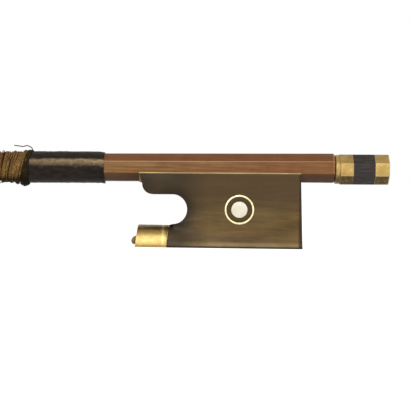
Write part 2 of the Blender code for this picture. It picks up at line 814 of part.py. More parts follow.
def build_frog_plug(materials, carriage):
    fit = inlay_fit
    front = nose_x + frog_pocket_setback + fit
    back = front + frog_pocket.x - 2 * fit
    floor = pearl_thickness + backing_thickness + 3 * fit
    roof = pearl_thickness + backing_thickness + frog_pocket.z - fit
    knot_low = roof - frog_knot_height
    half = frog_pocket.y / 2 - fit
    plug = bench_block(front, back, floor, knot_low - fit, half)
    place("frog_plug", plug, materials["maple"], carriage)
    knot = bench_block(front + fit, back - fit, knot_low, roof, half - fit)
    place("frog_hair_knot", knot, materials["hair"], carriage)


def button_stations():
    front = butt_gap
    ring = front + collar_length
    core = ring + front_ring_length
    rear = core + core_length
    return front, ring, core, rear, rear + rear_ring_length


def button_octagon(x, across):
    return octagon(x, across, 0.0, button_turn)


def square_bar(half, x_low, x_high):
    corners = ((half, half), (-half, half), (-half, -half), (half, -half))
    return loft([[Vector((x, y, z)) for y, z in corners] for x in (x_low, x_high)])


def ring_with_bore(outer, x_near, x_far):
    # Outer rings in order, then the bore back again, as one closed skin.
    bore = tenon_radius + inlay_fit
    rings = outer + [circle(x_far, bore), circle(x_near, bore)]
    return loft(rings, closed=True)


def build_button(materials, adjuster):
    front, ring, core, rear, end = button_stations()
    slim = button_across - 2 * button_bevel
    outer = [circle(front, collar_radius - collar_round), circle(front + collar_round, collar_radius)]
    outer.append(circle(ring - collar_groove, collar_radius))
    outer.append(circle(ring - collar_groove, collar_radius - collar_groove))
    outer.append(circle(ring, collar_radius - collar_groove))
    outer.append(button_octagon(ring, slim))
    outer.append(button_octagon(ring + button_bevel, button_across))
    outer.append(button_octagon(core - inlay_fit, button_across))
    front_ring = ring_with_bore(outer, front, core - inlay_fit)
    place("button_front_ring", front_ring, materials["gold"], adjuster)
    outer = [button_octagon(rear + inlay_fit, button_across)]
    outer.append(button_octagon(end - button_bevel, button_across))
    outer.append(button_octagon(end, slim))
    rear_ring = ring_with_bore(outer, rear + inlay_fit, end)
    place("button_rear_ring", rear_ring, materials["gold"], adjuster)
    tenon_front = butt_gap + nipple_length + running_fit
    rings = [circle(tenon_front, tenon_radius), circle(core, tenon_radius)]
    rings += [button_octagon(core, button_across), button_octagon(rear, button_across)]
    rings += [circle(rear, tenon_radius), circle(end - end_recess, tenon_radius)]
    piece = place("button_core", loft(rings), materials["ebony"], adjuster)
    shape_with(piece, square_bar(tang_half + inlay_fit, -overrun, tang_end + inlay_fit))


def build_screw(material, adjuster):
    start, turns = thread_span()
    shank_end = butt_gap + nipple_length
    screw = threaded_rod(start, turns, screw_radius, screw_root, -screw_reach, shank_end)
    piece = place("adjuster_screw", screw, material, adjuster)
    shape_with(piece, square_bar(tang_half, shank_end - overrun, tang_end), "UNION")


def sleeve(stations):
    # A tube on the octagonal stick: stations hold x and the outer radius.
    outer = [circle(x, radius) for x, radius in stations]
    inner = [stick_ring(x, seat_gap) for x, _ in reversed(stations)]
    return loft(outer + inner, closed=True)


def build_leather(material, handle):
    skived = leather_end_outer + (leather_outer - leather_end_outer) * 0.63
    stations = ((leather_x, leather_end_outer), (leather_x - leather_skive / 3, skived),
                (leather_x - leather_skive, leather_outer),
                (leather_far_x + 2 * leather_edge, leather_outer),
                (leather_far_x, leather_outer - leather_edge))
    place("thumb_leather", sleeve(stations), material, handle)


def lapping_rings():
    middle = -(octagon_end + round_start) / 2
    return [lapping_x, -octagon_end, middle, -round_start, lapping_far_x]


def build_underlay(material, handle):
    outer = [stick_ring(x, seat_gap + underlay_thickness) for x in lapping_rings()]
    inner = [stick_ring(x, seat_gap) for x in reversed(lapping_rings())]
    place("lapping_thread", loft(outer + inner, closed=True), material, handle)


def wire_point(x, angle):
    grow = 2 * seat_gap + underlay_thickness + wire_diameter / 2
    across = across_at(x) + 2 * grow
    reach = octagon_reach(angle, across, roundness_at(x))
    return Vector((x, reach * cos(angle), centre_at(x) + reach * sin(angle)))


def wire_path():
    # From its far end round the stick to the leather, where it curls up to a loose end on top.
    near_x = lapping_x - underlay_spare
    far_x = near_x - winding_length
    steps = wire_loops * wire_loop_points
    last_angle = pi / 8 + 5 * 2 * pi / wire_loop_points
    points = []
    for index in range(steps + 1):
        share = index / steps
        angle = last_angle + 2 * pi * wire_loops * (1 - share)
        points.append(wire_point(far_x + (near_x - far_x) * share, angle))
    points.insert(0, points[0] + (points[0] - points[1]).normalized() * wire_diameter)
    top = points[-1]
    curl = wire_tail_rise / 2
    curl_steps = 7
    for index in range(1, curl_steps + 1):
        share = index / curl_steps
        angle = pi * share - pi / 2
        shift = Vector((curl * cos(angle), wire_tail_swing * smooth(share), curl + curl * sin(angle)))
        points.append(top + shift)
    end = points[-1]
    tail_steps = 4
    for index in range(1, tail_steps + 1):
        share = index / tail_steps
        points.append(end + Vector((-wire_tail_length, 0, wire_tail_lift)) * share)
    return points


def least_gap(points, diameter, skip):
    # Least clear distance between stretches of the tube that aren't neighbours.
    least = None
    for index, point in enumerate(points):
        for other in points[index + skip:]:
            distance = (point - other).length
            if least is None or distance < least:
                least = distance
    return least - diameter


def build_wire(material, handle):
    points = wire_path()
    curve = bpy.data.curves.new("lapping_wire", "CURVE")
    curve.dimensions = "3D"
    curve.bevel_depth = wire_diameter / 2
    curve.bevel_resolution = 1
    curve.use_fill_caps = True
    spline = curve.splines.new("POLY")
    spline.points.add(len(points) - 1)
    for spot, point in zip(spline.points, points):
        spot.co = (*point, 1.0)
    curve.materials.append(material)
    wire = bpy.data.objects.new("lapping_wire", curve)
    bpy.context.collection.objects.link(wire)
    wire.parent = handle
    gap = least_gap(points, wire_diameter, wire_loop_points // 2)
    print("lapping wire: least gap to itself", round(gap / mm, 3), "mm")
    return wire


def stand_on_bench(handle):
    # Puts the bow's bounding box over the origin, standing on z = 0.
    bpy.context.view_layer.update()
    reach = []
    for piece in bpy.data.objects:
        if piece.type in {"MESH", "CURVE"} and not piece.hide_render:
            reach += [piece.matrix_world @ Vector(corner) for corner in piece.bound_box]
    handle.location.x -= (min(p.x for p in reach) + max(p.x for p in reach)) / 2
    handle.location.y -= (min(p.y for p in reach) + max(p.y for p in reach)) / 2
    bpy.context.view_layer.update()


def report_axes(carriage, adjuster):
    for empty in (carriage, adjuster):
        spot = empty.matrix_world.translation
        along = empty.matrix_world.to_3x3() @ Vector((1, 0, 0))
        print(empty.name, [round(v, 6) for v in spot], [round(v, 6) for v in along])
    print("turn range", round(degrees(-2 * pi * travel_forward / screw_pitch), 3),
          round(degrees(2 * pi * travel_back / screw_pitch), 3))
    print("metres per radian", round(screw_pitch / (2 * pi), 9))


def main():
    for piece in list(bpy.data.objects):
        bpy.data.objects.remove(piece)
    materials = {
        "pernambuco": part_material("pernambuco", (0.22, 0.095, 0.035), 0.35),
        "ebony": part_material("ebony", (0.075, 0.05, 0.028), 0.45),
        "gold": part_material("gold", (0.62, 0.42, 0.14), 0.3, 1.0),
        "brass": part_material("brass", (0.6, 0.43, 0.17), 0.35, 1.0),
        "steel": part_material("steel", (0.45, 0.44, 0.42), 0.35, 1.0),
        "pearl": part_material("pearl", (0.75, 0.72, 0.62), 0.25),
        "bone": part_material("bone", (0.72, 0.66, 0.52), 0.4),
        "leather": part_material("leather", (0.03, 0.024, 0.018), 0.55),
        "thread": part_material("thread", (0.26, 0.11, 0.03), 0.7),
        "wire": part_material("wire", (0.5, 0.36, 0.1), 0.4, 1.0),
        "maple": part_material("maple", (0.3, 0.2, 0.09), 0.6),
        "hair": part_material("hair", (0.7, 0.64, 0.5), 0.6),
    }
    height = bench_drop * cos(handle_rise)
    handle = frame_empty("handle_frame", (0, 0, height), (0, -handle_rise, 0), None)
    carriage = frame_empty("frog_frame", (0, 0, 0), (0, 0, 0), handle)
    adjuster = frame_empty("adjuster_frame", (0, 0, -screw_drop), (0, 0, 0), handle)
    build_stick(materials["pernambuco"], handle)
    build_head_fittings(materials, handle)
    build_leather(materials["leather"], handle)
    build_underlay(materials["thread"], handle)
    build_wire(materials["wire"], handle)
    build_frog_body(materials["ebony"], carriage)
    build_underslide(materials["gold"], carriage)
    build_liner_pins(materials["brass"], carriage)
    build_eyelet(materials["brass"], carriage)
    build_eyes(materials, carriage)
    build_ferrule(materials["gold"], carriage)
    build_wedge(materials["maple"], carriage)
    build_slide(materials, carriage)
    build_frog_plug(materials, carriage)
    build_button(materials, adjuster)
    build_screw(materials["steel"], adjuster)
    stand_on_bench(handle)
    report_axes(carriage, adjuster)


main()
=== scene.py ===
import json
from math import atan2, cos, pi, radians, sin

import bmesh
import bpy
from mathutils import Matrix, Vector, noise


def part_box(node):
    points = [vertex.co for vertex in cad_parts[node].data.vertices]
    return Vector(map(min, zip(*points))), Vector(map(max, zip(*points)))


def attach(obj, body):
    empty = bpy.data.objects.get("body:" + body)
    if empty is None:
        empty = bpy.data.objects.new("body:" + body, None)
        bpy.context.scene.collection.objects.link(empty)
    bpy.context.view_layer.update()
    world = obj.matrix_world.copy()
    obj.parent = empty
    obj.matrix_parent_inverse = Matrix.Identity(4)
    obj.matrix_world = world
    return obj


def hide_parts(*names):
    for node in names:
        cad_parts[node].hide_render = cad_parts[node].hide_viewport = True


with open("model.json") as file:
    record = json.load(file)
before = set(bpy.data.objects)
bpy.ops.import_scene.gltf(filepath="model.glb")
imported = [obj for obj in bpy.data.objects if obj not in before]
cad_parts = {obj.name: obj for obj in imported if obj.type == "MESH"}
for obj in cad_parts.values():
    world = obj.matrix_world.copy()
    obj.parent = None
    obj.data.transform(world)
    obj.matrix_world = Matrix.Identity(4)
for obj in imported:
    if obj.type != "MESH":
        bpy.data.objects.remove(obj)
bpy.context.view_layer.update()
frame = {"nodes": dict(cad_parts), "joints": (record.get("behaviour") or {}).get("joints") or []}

mm = 0.001
mmInMetre = 1000.0

# The handle's own frame, as in the CAD: +X to the button, +Z up from the stick, zero at the butt face
screwDrop = 0.3 * mm  # the screw's axis under the stick's centreline
joints = {joint["name"]: joint for joint in frame["joints"]}
alongStick = Vector(joints["frog_slide"]["axis"]).normalized()
upFromStick = alongStick.cross(Vector((0, 1, 0)))
buttCentre = Vector(joints["adjuster_turn"]["pos_m"]) + upFromStick * screwDrop
handleTurn = Matrix((alongStick, Vector((0, 1, 0)), upFromStick)).transposed()
handleMatrix = Matrix.Translation(buttCentre) @ handleTurn.to_4x4()
print("frame loaded")


# Small tools for shader trees
def tone(red, green, blue):
    # Screen values of a colour as the linear ones that a shader takes
    return (*(((value / 255 + 0.055) / 1.055) ** 2.4 for value in (red, green, blue)), 1.0)


def addNode(tree, kind, inputs=None, **settings):
    node = tree.nodes.new(kind)
    for label, value in settings.items():
        setattr(node, label, value)
    for label, value in (inputs or {}).items():
        if isinstance(value, bpy.types.NodeSocket):
            tree.links.new(value, node.inputs[label])
        else:
            node.inputs[label].default_value = value
    return node


def mixColours(tree, share, first, second):
    node = addNode(tree, "ShaderNodeMix", {0: share, 6: first, 7: second}, data_type="RGBA")
    return node.outputs[2]


def mapRange(tree, value, low, high, toLow=0.0, toHigh=1.0):
    values = {"Value": value, "From Min": low, "From Max": high, "To Min": toLow, "To Max": toHigh}
    return addNode(tree, "ShaderNodeMapRange", values).outputs[0]


def calculate(tree, operation, first, second):
    return addNode(tree, "ShaderNodeMath", {0: first, 1: second}, operation=operation).outputs[0]


def addLayers(tree, colour, layers):
    # Each layer lays its tint over the rest, from none to its share while its value runs from low to high
    for value, low, high, share, tint in layers:
        colour = mixColours(tree, mapRange(tree, value, low, high, 0.0, share), colour, tint)
    return colour


def readPlace(tree, output="Object"):
    # X, Y and Z of the object's coordinates, or with "Normal" of the way the surface faces
    source = addNode(tree, "ShaderNodeTexCoord").outputs[output]
    return addNode(tree, "ShaderNodeSeparateXYZ", {0: source}).outputs


def seenDirectly(tree):
    # One for what the camera sees, itself or in a reflection, and nought for light on the way elsewhere
    path = addNode(tree, "ShaderNodeLightPath").outputs
    seen = calculate(tree, "MAXIMUM", path["Is Camera Ray"], path["Is Glossy Ray"])
    return calculate(tree, "MAXIMUM", seen, path["Is Transmission Ray"])


def startGroup(name, inputs):
    tree = bpy.data.node_groups.new(name, "ShaderNodeTree")
    for label, value in inputs.items():
        socket = tree.interface.new_socket(name=label, in_out="INPUT", socket_type="NodeSocketFloat")
        socket.default_value = value
    tree.interface.new_socket(name="Mask", in_out="OUTPUT", socket_type="NodeSocketFloat")
    return tree, tree.nodes.new("NodeGroupInput").outputs, tree.nodes.new("NodeGroupOutput").inputs


def makeStreaks():
    # Long fibres along the stick, such as grain and pores
    tree, given, out = startGroup("streaks", {"Length": 10.0, "Width": 0.4, "Low": 0.35, "High": 0.65})
    place = addNode(tree, "ShaderNodeTexCoord").outputs["Object"]
    along = calculate(tree, "DIVIDE", mmInMetre, given["Length"])
    across = calculate(tree, "DIVIDE", mmInMetre, given["Width"])
    scale = addNode(tree, "ShaderNodeCombineXYZ", {"X": along, "Y": across, "Z": across}).outputs[0]
    spread = addNode(tree, "ShaderNodeVectorMath", {0: place, 1: scale}, operation="MULTIPLY").outputs[0]
    settings = {"Vector": spread, "Scale": 1.0, "Detail": 4.0, "Roughness": 0.6}
    fibres = addNode(tree, "ShaderNodeTexNoise", settings).outputs[0]
    tree.links.new(mapRange(tree, fibres, given["Low"], given["High"]), out["Mask"])
    return tree


def makePatches():
    # Soft uneven blotches, such as wear, dirt and handling
    tree, given, out = startGroup("patches", {"Size": 5.0, "Low": 0.4, "High": 0.6})
    place = addNode(tree, "ShaderNodeTexCoord").outputs["Object"]
    scale = calculate(tree, "DIVIDE", mmInMetre, given["Size"])
    settings = {"Vector": place, "Scale": scale, "Detail": 5.0, "Roughness": 0.62}
    blotches = addNode(tree, "ShaderNodeTexNoise", settings).outputs[0]
    tree.links.new(mapRange(tree, blotches, given["Low"], given["High"]), out["Mask"])
    return tree


def makeScratches():
    # Thin lines from rubbing, slanted a little off the stick
    tree, given, out = startGroup("scratches", {"Spacing": 1.2, "Width": 0.02, "Slant": 0.5})
    place = addNode(tree, "ShaderNodeTexCoord").outputs["Object"]
    slant = addNode(tree, "ShaderNodeCombineXYZ", {"X": 0.0, "Y": given["Slant"], "Z": 0.0}).outputs[0]
    turning = {"Vector": place, "Rotation": slant}
    turned = addNode(tree, "ShaderNodeVectorRotate", turning, rotation_type="EULER_XYZ").outputs[0]
    scale = calculate(tree, "DIVIDE", mmInMetre, given["Spacing"])
    fine = calculate(tree, "MULTIPLY", scale, 6.0)
    stretch = addNode(tree, "ShaderNodeCombineXYZ", {"X": scale, "Y": fine, "Z": fine}).outputs[0]
    spread = addNode(tree, "ShaderNodeVectorMath", {0: turned, 1: stretch}, operation="MULTIPLY").outputs[0]
    lines = addNode(tree, "ShaderNodeTexNoise", {"Vector": spread, "Scale": 0.3, "Detail": 3.0}).outputs[0]
    offCentre = calculate(tree, "ABSOLUTE", calculate(tree, "SUBTRACT", lines, 0.5), 0.0)
    tree.links.new(mapRange(tree, offCentre, given["Width"], 0.0), out["Mask"])
    return tree


effects = {"streaks": makeStreaks(), "patches": makePatches(), "scratches": makeScratches()}


def effect(tree, name, **values):
    node = addNode(tree, "ShaderNodeGroup", node_tree=effects[name])
    for label, value in values.items():
        node.inputs[label.capitalize()].default_value = value
    return node.outputs["Mask"]


def startMaterial(name, roughness, metallic=0.0, coat=0.0, specular=None):
    if specular is None:
        specular = 0.5 if metallic else 0.2
    material = bpy.data.materials.new(name)
    material.use_nodes = True
    tree = material.node_tree
    shader = tree.nodes["Principled BSDF"]
    values = {
        "Roughness": roughness, "Metallic": metallic, "Coat Weight": coat, "Coat Roughness": 0.25,
        "Specular IOR Level": specular,
    }
    for label, value in values.items():
        shader.inputs[label].default_value = value
    return material, tree, shader


def finishMaterial(tree, shader, colour, height, strength, distance, roughness=None):
    # Links the colour, a bump whose depth is in mm, and where it is given an uneven roughness
    tree.links.new(colour, shader.inputs["Base Color"])
    values = {"Height": height, "Strength": strength, "Distance": distance * mm}
    tree.links.new(addNode(tree, "ShaderNodeBump", values).outputs[0], shader.inputs["Normal"])
    if roughness is not None:
        tree.links.new(roughness, shader.inputs["Roughness"])


# Varnished stick, redder towards the butt, with painted shade on the upper and lower facets
stickLook = {
    "dark": tone(116, 76, 32), "light": tone(152, 110, 54), "upper": tone(112, 64, 30),
    "lower": tone(66, 38, 18), "red": tone(128, 72, 34), "pore": tone(66, 38, 18),
    "arris": tone(188, 146, 96), "redStart": 285.0 * mm, "redEnd": 345.0 * mm,
}


def stickMaterial(name, withArrisHighlight=False):
    look = stickLook
    material, tree, shader = startMaterial(name, 0.42, coat=0.12)
    along = readPlace(tree)["X"]
    facingUp = readPlace(tree, "Normal")["Z"]
    grain = effect(tree, "streaks", length=16.0, width=0.55, low=0.38, high=0.62)
    pores = effect(tree, "streaks", length=2.6, width=0.11, low=0.57, high=0.68)
    blotches = effect(tree, "patches", size=4.5, low=0.42, high=0.66)
    layers = [
        (along, look["redStart"], look["redEnd"], 0.5, look["red"]),
        # Painted shade: upper facets darker and redder, lower facets darker still, by the way they face
        (facingUp, 0.35, 0.7, 0.75, look["upper"]),
        (facingUp, -0.35, -0.7, 0.85, look["lower"]),
        (pores, 0.0, 1.0, 0.6, look["pore"]),
        (blotches, 0.0, 1.0, 0.18, look["pore"]),
    ]
    # Painted highlight on the arrises that face up
    if withArrisHighlight:
        layers.append((facingUp, -0.3, 0.1, 0.95, look["arris"]))
    colour = addLayers(tree, mixColours(tree, grain, look["dark"], look["light"]), layers)
    rough = mapRange(tree, blotches, 0.0, 1.0, 0.36, 0.55)
    finishMaterial(tree, shader, colour, pores, 0.25, 0.03, rough)
    return material


# Ebony gone brown with handling, darker higher up and round the eye, with painted shade behind the ferrule,
# round the throat, on the nose, at the heel, along the sole and on the rounded edges, and a painted highlight
# along the foot. Each zone starts at its first number and is full at its second, in mm along the bow, over the
# bench or from the middle of the eye or throat
eyeLow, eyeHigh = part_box("eye_pearl_near")
throatInHandle = Vector((-47.0 * mm, 0, -12.14 * mm))
ebonyLook = {
    "dark": tone(90, 69, 38), "light": tone(126, 100, 56), "upper": tone(84, 66, 42),
    "foot": tone(166, 143, 98), "eye": tone(60, 50, 24), "shadeBehindFerrule": tone(60, 48, 32),
    "paintedShade": tone(30, 24, 16), "line": tone(62, 46, 28),
    "eyeCentre": ((eyeLow.x + eyeHigh.x) / 2, 0.0, (eyeLow.z + eyeHigh.z) / 2), "eyeReach": (4.0, 3.6),
    "throatCentre": tuple(handleMatrix @ throatInHandle), "throatReach": (7.4, 4.4),
    "upperHeights": (8.0, 15.0), "footHeights": (2.0, 1.2), "soleShadeHeights": (0.6, 0.4),
    "behindFerrule": (320.5, 312.5), "nose": (306.0, 301.0), "heel": (346.0, 346.5),
}


def ebonyMaterial(name, paintedShade=False):
    look = ebonyLook
    material, tree, shader = startMaterial(name, 0.45, coat=0.03, specular=0.12)
    place = readPlace(tree)
    grain = effect(tree, "streaks", length=18.0, width=2.2, low=0.34, high=0.68)
    lines = effect(tree, "streaks", length=5.0, width=0.16, low=0.56, high=0.7)
    blotches = effect(tree, "patches", size=7.0, low=0.4, high=0.62)
    sideOn = addNode(tree, "ShaderNodeCombineXYZ", {"X": place["X"], "Y": 0.0, "Z": place["Z"]}).outputs[0]

    def reachFrom(centre):
        measure = addNode(tree, "ShaderNodeVectorMath", {0: sideOn, 1: centre}, operation="DISTANCE")
        return measure.outputs["Value"]

    def zone(value, limits, share, tint):
        start, full = look[limits]
        return value, start * mm, full * mm, share, look[tint]

    colour = addLayers(tree, mixColours(tree, grain, look["dark"], look["light"]), [
        zone(place["Z"], "upperHeights", 0.85, "upper"),
        # Painted highlight along the foot, where the flare faces up to the light
        zone(place["Z"], "footHeights", 0.75, "foot"),
        (blotches, 0.0, 1.0, 0.3, look["upper"]),
        # Painted shade on the jaw behind the ferrule
        zone(place["X"], "behindFerrule", 0.85, "shadeBehindFerrule"),
        (lines, 0.0, 1.0, 0.5, look["line"]),
        zone(reachFrom(look["eyeCentre"]), "eyeReach", 0.6, "eye"),
        # Painted shade round the throat, on the nose, at the heel and along the sole
        zone(reachFrom(look["throatCentre"]), "throatReach", 0.75, "paintedShade"),
        zone(place["X"], "nose", 0.5, "paintedShade"),
        zone(place["X"], "heel", 0.7, "paintedShade"),
        zone(place["Z"], "soleShadeHeights", 0.9, "paintedShade"),
    ])
    # Painted shade on the rounded edges
    if paintedShade:
        colour = mixColours(tree, 0.8, colour, look["paintedShade"])
    rough = mapRange(tree, blotches, 0.0, 1.0, 0.38, 0.52)
    finishMaterial(tree, shader, colour, lines, 0.2, 0.03, rough)
    return material


# Gold fittings, dulled and finely scratched, with painted shade on the faces turned down and a painted
# highlight on the rounded edges; the ferrule has a painted reflection that darkens upwards, painted shade
# along its sole and a streak at its seam; mm
goldLook = {
    "bright": tone(172, 143, 86), "dull": tone(150, 123, 72), "tarnishAndShade": tone(66, 54, 38),
    "edge": tone(214, 190, 132), "ferruleReflectionTop": tone(116, 92, 44), "ferruleReflectionFoot": tone(190, 161, 100),
    "foot": tone(120, 106, 74),
    "fall": (5.4, 1.9), "seam": 307.2, "streak": (0.5, 0.1), "border": (0.8, 1.1), "soleShade": (0.9, 0.5),
}


def ferruleColour(tree, colour):
    look = goldLook
    place = readPlace(tree)
    limits = {key: [value * mm for value in look[key]] for key in ("fall", "streak", "border", "soleShade")}
    # Painted reflection: darker at the top, brighter towards the foot
    fall = mapRange(tree, place["Z"], *limits["fall"])
    colour = mixColours(tree, 0.85, colour, mixColours(tree, fall, look["ferruleReflectionTop"], look["ferruleReflectionFoot"]))
    fromSeam = calculate(tree, "SUBTRACT", place["X"], look["seam"] * mm)
    return addLayers(tree, colour, [
        (calculate(tree, "ABSOLUTE", fromSeam, 0.0), *limits["streak"], 0.6, look["edge"]),
        (fromSeam, *limits["border"], 0.55, look["tarnishAndShade"]),
        # Painted shade along the ferrule's sole
        (place["Z"], *limits["soleShade"], 0.7, look["foot"]),
    ])


def goldMaterial(name, edge=False, ferrule=False):
    look = goldLook
    material, tree, shader = startMaterial(name, 0.4, metallic=1.0)
    facingUp = readPlace(tree, "Normal")["Z"]
    dull = effect(tree, "patches", size=2.4, low=0.38, high=0.66)
    specks = effect(tree, "patches", size=0.8, low=0.6, high=0.74)
    lines = effect(tree, "scratches", spacing=1.6, width=0.012, slant=0.45)
    colour = mixColours(tree, dull, look["bright"], look["dull"])
    if ferrule:
        colour = ferruleColour(tree, colour)
    colour = addLayers(tree, colour, [
        # Painted shade on the faces turned down; the specks are real tarnish
        (facingUp, -0.3, -0.7, 0.92, look["tarnishAndShade"]),
        (specks, 0.0, 1.0, 0.45, look["tarnishAndShade"]),
        (lines, 0.0, 1.0, 0.5, look["edge"]),
    ])
    # Painted highlight on the rounded edges
    if edge:
        colour = mixColours(tree, 0.7, colour, look["edge"])
    rough = mapRange(tree, dull, 0.0, 1.0, 0.34, 0.5)
    finishMaterial(tree, shader, colour, lines, 0.12, 0.02, rough)
    return material


# Near-black creased leather with a painted sheen highlight in blotches along the side facing a little up,
# more so towards the frog
leatherLook = {
    "dark": tone(28, 22, 18), "base": tone(45, 36, 29), "paintedSheen": tone(196, 166, 124),
    "pebbles": 2600.0, "sheenStart": 266.0 * mm, "sheenEnd": 288.0 * mm,
}


def leatherMaterial(name):
    look = leatherLook
    material, tree, shader = startMaterial(name, 0.46, specular=0.1)
    along = readPlace(tree)["X"]
    facingUp = readPlace(tree, "Normal")["Z"]
    source = addNode(tree, "ShaderNodeTexCoord").outputs["Object"]
    settings = {"Scale": look["pebbles"], "Vector": source}
    cells = addNode(tree, "ShaderNodeTexVoronoi", settings, feature="SMOOTH_F1")
    creases = effect(tree, "streaks", length=3.0, width=0.8, low=0.42, high=0.6)
    blotches = effect(tree, "patches", size=0.34, low=0.18, high=0.68)
    colour = mixColours(tree, creases, look["dark"], look["base"])
    # Painted sheen highlight where the surface faces a little up
    fromSide = mapRange(tree, facingUp, 0.0, 0.4)
    fromTop = mapRange(tree, facingUp, 0.54, 0.4)
    paintedSheen = calculate(tree, "MULTIPLY", calculate(tree, "MULTIPLY", fromSide, fromTop), blotches)
    forward = mapRange(tree, along, look["sheenStart"], look["sheenEnd"], 0.55, 1.0)
    paintedSheen = calculate(tree, "MULTIPLY", paintedSheen, forward)
    colour = mixColours(tree, paintedSheen, colour, look["paintedSheen"])
    height = calculate(tree, "ADD", cells.outputs["Distance"], calculate(tree, "MULTIPLY", creases, 0.8))
    rough = mapRange(tree, blotches, 0.0, 1.0, 0.6, 0.45)
    finishMaterial(tree, shader, colour, height, 0.45, 0.06, rough)
    return material


# Strands: name, dark and light flecks, metallic, roughness and fleck size in mm
yarnLooks = {
    "wire": ("lappingStrand", (74, 56, 26), (186, 158, 92), 0.3, 0.5, 0.16),
    "darkWire": ("soiledStrand", (22, 17, 10), (70, 54, 28), 0.1, 0.7, 0.2),
    "thread": ("orangeThread", (104, 70, 36), (158, 114, 68), 0.0, 0.8, 0.2),
    "underlay": ("soiledUnderlay", (92, 62, 32), (148, 106, 62), 0.0, 0.85, 0.3),
}
# Painted shade on the underside of the winding: darker below a height over the bench
undersideShade = {"tone": tone(26, 20, 14), "start": 20.0 * mm, "full": 19.0 * mm}  # on the underside, over the bench


def yarnMaterial(name, dark, light, metallic, roughness, size):
    material, tree, shader = startMaterial(name, roughness, metallic, specular=0.06)
    height = readPlace(tree)["Z"]
    source = addNode(tree, "ShaderNodeTexCoord").outputs["Object"]
    turned = addNode(tree, "ShaderNodeMapping", {"Vector": source, "Rotation": (0.3, 0.6, 0.2)}).outputs[0]
    settings = {"Vector": turned, "Scale": mmInMetre / size, "Detail": 2.0}
    flecks = addNode(tree, "ShaderNodeTexNoise", settings).outputs[0]
    soiled = effect(tree, "patches", size=1.6, low=0.42, high=0.62)
    colour = mixColours(tree, mapRange(tree, flecks, 0.35, 0.65), tone(*dark), tone(*light))
    colour = addLayers(tree, colour, [
        (soiled, 0.0, 1.0, 0.55, tone(*dark)),
        # Painted shade on the underside
        (height, undersideShade["start"], undersideShade["full"], 0.85, undersideShade["tone"]),
    ])
    finishMaterial(tree, shader, colour, flecks, 0.5, 0.08)
    return material


# Mother-of-pearl: milky layers with faint rose clouds and small chips
pearlLook = {
    "milk": tone(255, 251, 230), "cream": tone(244, 236, 206), "rose": tone(238, 214, 196),
    "chip": tone(150, 134, 100),
}


def pearlMaterial(name):
    look = pearlLook
    material, tree, shader = startMaterial(name, 0.2, coat=0.4)
    clouds = effect(tree, "patches", size=1.6, low=0.35, high=0.65)
    layers = effect(tree, "streaks", length=3.0, width=0.5, low=0.4, high=0.6)
    chips = effect(tree, "patches", size=0.9, low=0.66, high=0.7)
    colour = addLayers(tree, mixColours(tree, clouds, look["milk"], look["cream"]), [
        (layers, 0.0, 1.0, 0.35, look["rose"]),
        (chips, 0.0, 1.0, 0.6, look["chip"]),
    ])
    finishMaterial(tree, shader, colour, layers, 0.08, 0.02)
    return material


# Hidden and small pieces: name, effect and its sizes, two tones, roughness and metallic
plainLooks = {
    "eyeRing": ("paleRing", "patches", {"size": 1.5}, (252, 240, 196), (228, 208, 150), 0.4, 0.6),
    "liner": (
        "dullLiner", "streaks", {"length": 7.0, "width": 0.5}, (176, 150, 104), (136, 114, 74), 0.5, 0.8,
    ),
    "bone": (
        "polishedBone", "streaks", {"length": 6.0, "width": 0.4}, (226, 214, 184), (198, 182, 146), 0.35, 0.0,
    ),
    "lining": (
        "liningEbony", "streaks", {"length": 8.0, "width": 0.3}, (30, 26, 22), (52, 44, 36), 0.4, 0.0,
    ),
    "buttonEbony": (
        "buttonEbony", "streaks", {"length": 4.0, "width": 0.4}, (34, 29, 27), (64, 56, 52), 0.45, 0.0,
    ),
    "brass": ("machinedBrass", "scratches", {"spacing": 1.0}, (170, 140, 80), (214, 188, 124), 0.35, 1.0),
    "steel": ("cutSteel", "scratches", {"spacing": 0.8}, (132, 130, 126), (180, 178, 172), 0.33, 1.0),
    "maple": (
        "bareMaple", "streaks", {"length": 5.0, "width": 0.25}, (176, 140, 92), (136, 100, 58), 0.6, 0.0,
    ),
    "wedge": ("handledWedge", "patches", {"size": 1.4}, (150, 136, 90), (98, 82, 34), 0.5, 0.0),
    "hair": (
        "tiedHair", "streaks", {"length": 9.0, "width": 0.09}, (224, 212, 178), (170, 156, 120), 0.55, 0.0,
    ),
}


def plainMaterial(name, pattern, sizes, first, second, roughness, metallic):
    # Two tones in the pattern of one effect, which also marks the surface
    material, tree, shader = startMaterial(name, roughness, metallic)
    mask = effect(tree, pattern, **sizes)
    finishMaterial(tree, shader, mixColours(tree, mask, tone(*first), tone(*second)), mask, 0.25, 0.03)
    return material


finishes = {
    "stick": stickMaterial("varnishedStick"),
    # Rounded arrises of the stick, with a painted highlight
    "arris": stickMaterial("arrisHighlighted", withArrisHighlight=True),
    "ebony": ebonyMaterial("brownedEbony"),
    "paintedShade": ebonyMaterial("ebonyShadedEdge", paintedShade=True),
    "gold": goldMaterial("scratchedGold"),
    "goldEdgeHighlight": goldMaterial("goldEdgeHighlight", edge=True),
    "ferrule": goldMaterial("ferruleGold", ferrule=True),
    "leather": leatherMaterial("thumbLeather"),
    "pearl": pearlMaterial("motherOfPearl"),
}
for look, row in yarnLooks.items():
    finishes[look] = yarnMaterial(*row)
for look, row in plainLooks.items():
    finishes[look] = plainMaterial(*row)
print("finishes made")


smoothAngle = radians(32)


def addPiece(name, bm, looks, body, replaced):
    # Hands a finished mesh over as one piece that stands for a CAD node
    mesh = bpy.data.meshes.new(name)
    bm.to_mesh(mesh)
    bm.free()
    for look in looks:
        mesh.materials.append(finishes[look])
    mesh.shade_smooth()
    mesh.set_sharp_from_angle(angle=smoothAngle)
    piece = bpy.data.objects.new(name, mesh)
    bpy.context.scene.collection.objects.link(piece)
    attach(piece, body)
    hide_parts(replaced)


